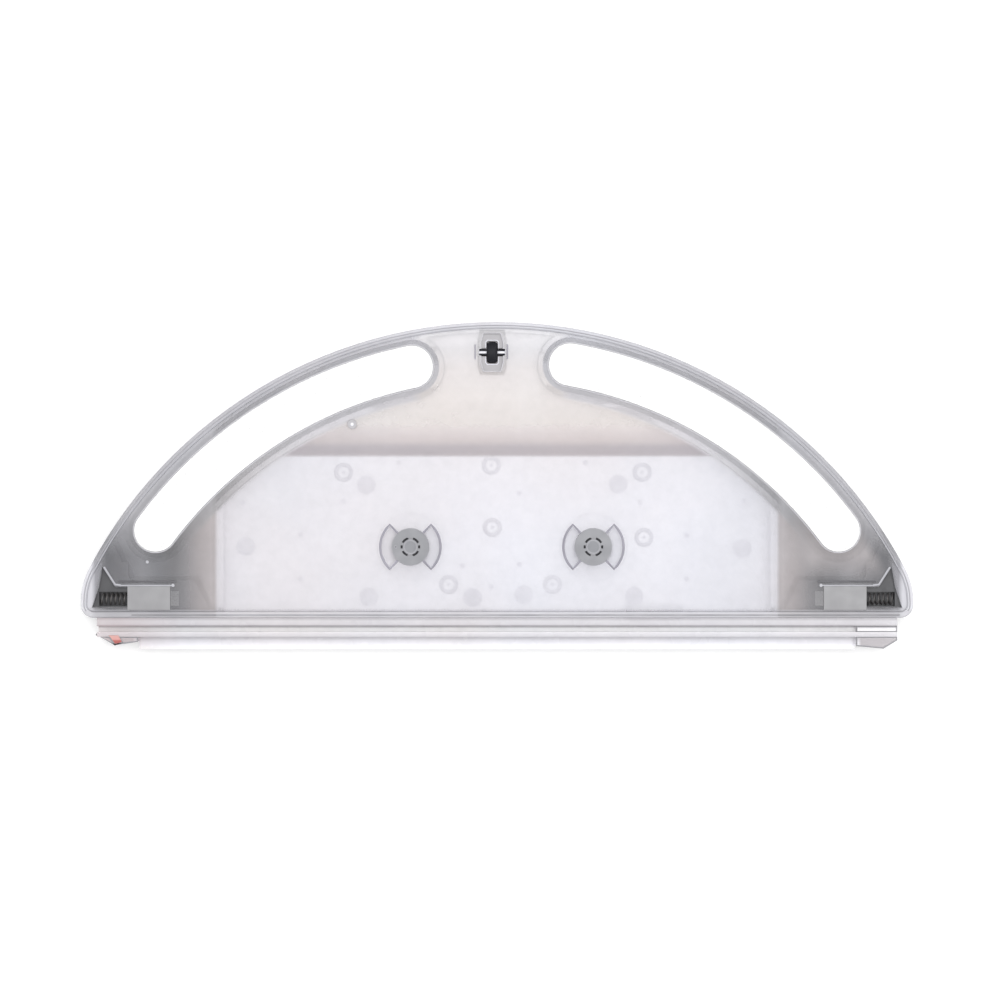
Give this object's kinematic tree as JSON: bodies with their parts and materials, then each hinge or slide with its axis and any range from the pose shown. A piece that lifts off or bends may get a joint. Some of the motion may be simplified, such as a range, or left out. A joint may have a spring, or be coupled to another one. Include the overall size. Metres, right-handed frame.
{
  "type": "robot vacuum water tank",
  "caption": "Half-moon translucent water tank for a robot vacuum, lying underside up, with side latches, pull-out water outlets, hook pads and a cloth rail.",
  "frame": {"origin": "bottom centre of the whole tank, on the surface that the chamber's flat face rests on", "axes": "+X along the straight front edge, +Y from that edge to the arc, +Z from the chamber's flat face up to the underside that faces the floor in use"},
  "size_m": [0.3144, 0.1238, 0.0195],
  "materials": {
    "frosted_shell": "frosted translucent moulding",
    "frosted_plate": "frosted translucent moulding",
    "clear_plastic": "clear, slightly blue",
    "red_plastic": "satin",
    "hook_tape": "white hook tape",
    "grey_plastic": "satin moulding",
    "dark_plastic": "satin moulding",
    "pale_plastic": "satin moulding",
    "spring_steel": "drawn wire",
    "black_rubber": "matt",
    "soft_rubber": "soft silicone",
    "felt": "pressed felt"
  },
  "bodies": {
    "tank": {"tray_shell": "frosted_shell", "base_shell": "frosted_plate", "cloth_rail": "clear_plastic", "rail_marker": "red_plastic", "hook_pad_left": "hook_tape", "hook_pad_right": "hook_tape", "latch_retainer_left": "grey_plastic", "latch_retainer_right": "grey_plastic", "latch_spring_left": "spring_steel", "latch_spring_right": "spring_steel", "roller_axle": "spring_steel", "vent_valve": "soft_rubber"},
    "latch_left": {"latch_button_left": "pale_plastic", "latch_slider_left": "dark_plastic"},
    "latch_right": {"latch_button_right": "pale_plastic", "latch_slider_right": "dark_plastic"},
    "roller": {"roller": "black_rubber"},
    "outlet_left": {"outlet_plug_left": "grey_plastic", "outlet_wick_left": "felt", "outlet_seal_left": "black_rubber"},
    "outlet_right": {"outlet_plug_right": "grey_plastic", "outlet_wick_right": "felt", "outlet_seal_right": "black_rubber"},
    "fill_plug": {"fill_plug": "soft_rubber"}
  },
  "joints": [
    {"name": "latch_left_press", "type": "slide", "parent": "tank", "child": "latch_left", "axis": [1, 0, 0], "range_m": [0, 0.0035], "stiffness_N_per_m": 800, "springref_m": -0.002, "deforming": ["latch_spring_left"]},
    {"name": "latch_right_press", "type": "slide", "parent": "tank", "child": "latch_right", "axis": [-1, 0, 0], "range_m": [0, 0.0035], "stiffness_N_per_m": 800, "springref_m": -0.002, "deforming": ["latch_spring_right"]},
    {"name": "roller_spin", "type": "hinge", "parent": "tank", "child": "roller", "pos_m": [-0.00185, 0.0505, 0.01545], "axis": [1, 0, 0], "continuous": true},
    {"name": "outlet_left_pull", "type": "slide", "parent": "tank", "child": "outlet_left", "axis": [0, 0, 1], "range_m": [0, 0.01]},
    {"name": "outlet_right_pull", "type": "slide", "parent": "tank", "child": "outlet_right", "axis": [0, 0, 1], "range_m": [0, 0.01]},
    {"name": "fill_plug_pull", "type": "slide", "parent": "tank", "child": "fill_plug", "axis": [0, -1, 0], "range_m": [0, 0.012]}
  ]
}
